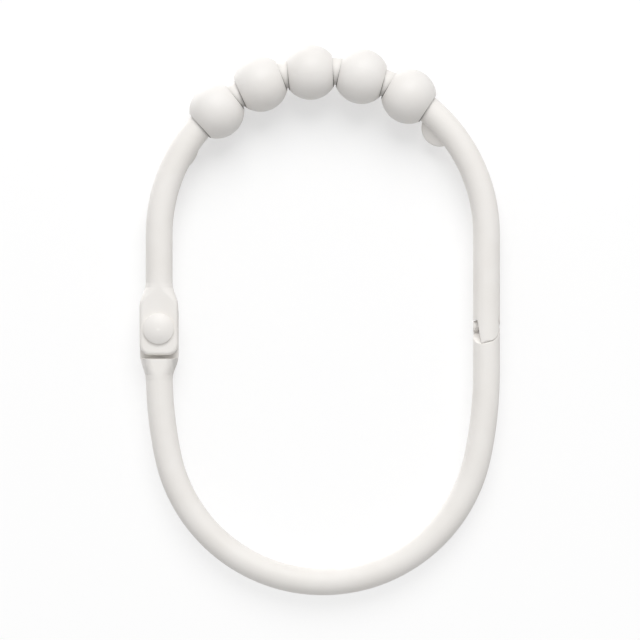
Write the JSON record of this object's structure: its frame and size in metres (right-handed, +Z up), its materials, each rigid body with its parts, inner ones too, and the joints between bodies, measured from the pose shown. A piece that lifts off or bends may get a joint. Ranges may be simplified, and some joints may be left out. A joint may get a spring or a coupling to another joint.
{
  "type": "shower curtain hook",
  "caption": "Closed oval ring hook for a shower curtain, of white coated wire, with roller balls on its arch and a hinged lower bow that snaps shut at a clasp",
  "frame": {"origin": "centre of the round arch, in the wire's mid-plane: the axis of the rod's space", "axes": "+Z up as the ring hangs, along the oval; +Y along the rod, away from the rivet's domed front head; +X towards the clasp"},
  "size_m": [0.049, 0.0074, 0.075],
  "materials": {
    "wire_coat": "satin",
    "rivet_coat": "satin",
    "bead_coat": "satin"
  },
  "bodies": {
    "arch": {"upper_arch": "wire_coat", "pivot_rivet": "rivet_coat"},
    "bow": {"lower_bow": "wire_coat"},
    "ball_1": {"bead_1": "bead_coat"},
    "ball_2": {"bead_2": "bead_coat"},
    "ball_3": {"bead_3": "bead_coat"},
    "ball_4": {"bead_4": "bead_coat"},
    "ball_5": {"bead_5": "bead_coat"}
  },
  "joints": [
    {"name": "bow_hinge", "type": "hinge", "parent": "arch", "child": "bow", "pos_m": [-0.0223, 0, -0.0128], "axis": [0, 1, 0], "range_deg": [0, 115]},
    {"name": "ball_1_roll", "type": "hinge", "parent": "arch", "child": "ball_1", "pos_m": [-0.01444, 0, 0.01683], "axis": [0.7589, 0, 0.6512], "continuous": true},
    {"name": "ball_2_roll", "type": "hinge", "parent": "arch", "child": "ball_2", "pos_m": [-0.00849, 0, 0.02049], "axis": [0.9238, 0, 0.3829], "continuous": true},
    {"name": "ball_3_roll", "type": "hinge", "parent": "arch", "child": "ball_3", "pos_m": [-0.0017, 0, 0.02212], "axis": [0.9971, 0, 0.0767], "continuous": true},
    {"name": "ball_4_roll", "type": "hinge", "parent": "arch", "child": "ball_4", "pos_m": [0.00526, 0, 0.02155], "axis": [0.9715, 0, -0.2371], "continuous": true},
    {"name": "ball_5_roll", "type": "hinge", "parent": "arch", "child": "ball_5", "pos_m": [0.0117, 0, 0.01885], "axis": [0.8496, 0, -0.5274], "continuous": true}
  ]
}
